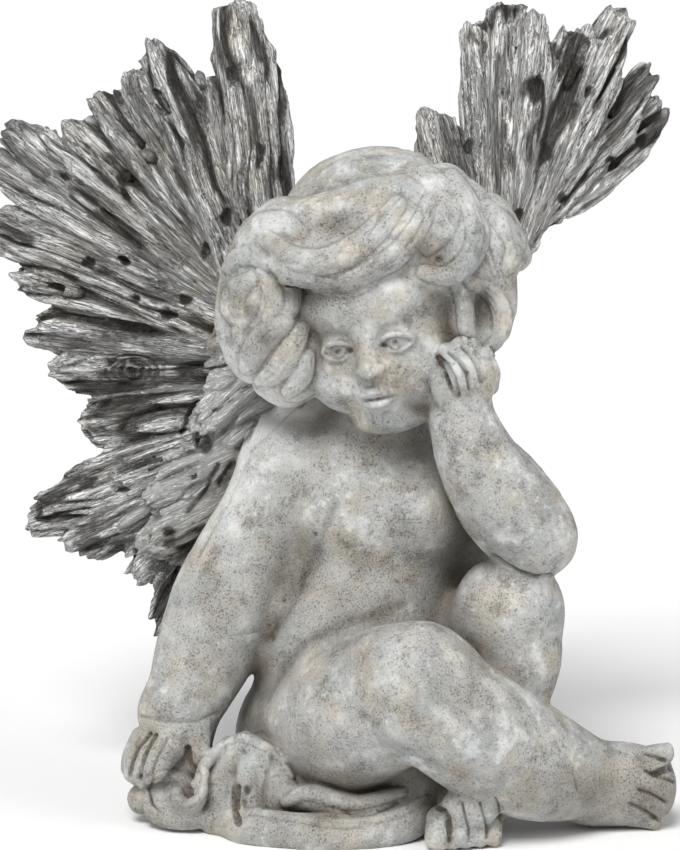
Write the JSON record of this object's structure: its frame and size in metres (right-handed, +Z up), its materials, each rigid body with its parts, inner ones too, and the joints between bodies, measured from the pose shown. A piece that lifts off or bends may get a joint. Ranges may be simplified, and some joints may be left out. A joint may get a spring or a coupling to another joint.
{
  "type": "stone putto statue",
  "caption": "Seated winged putto garden statue in cast stone, resting its cheek on its hand, cut flat underneath to stand on its own.",
  "frame": {"origin": "centre of the bounding box at the ground, under the figure", "axes": "+Z up, the figure looks toward -Y, its right hand is at -X"},
  "size_m": [0.3506, 0.2074, 0.4068],
  "materials": {
    "stone": "matt weathered cast stone, light grey with darker wings"
  },
  "bodies": {
    "root": {"putto_statue": "stone"}
  },
  "joints": []
}
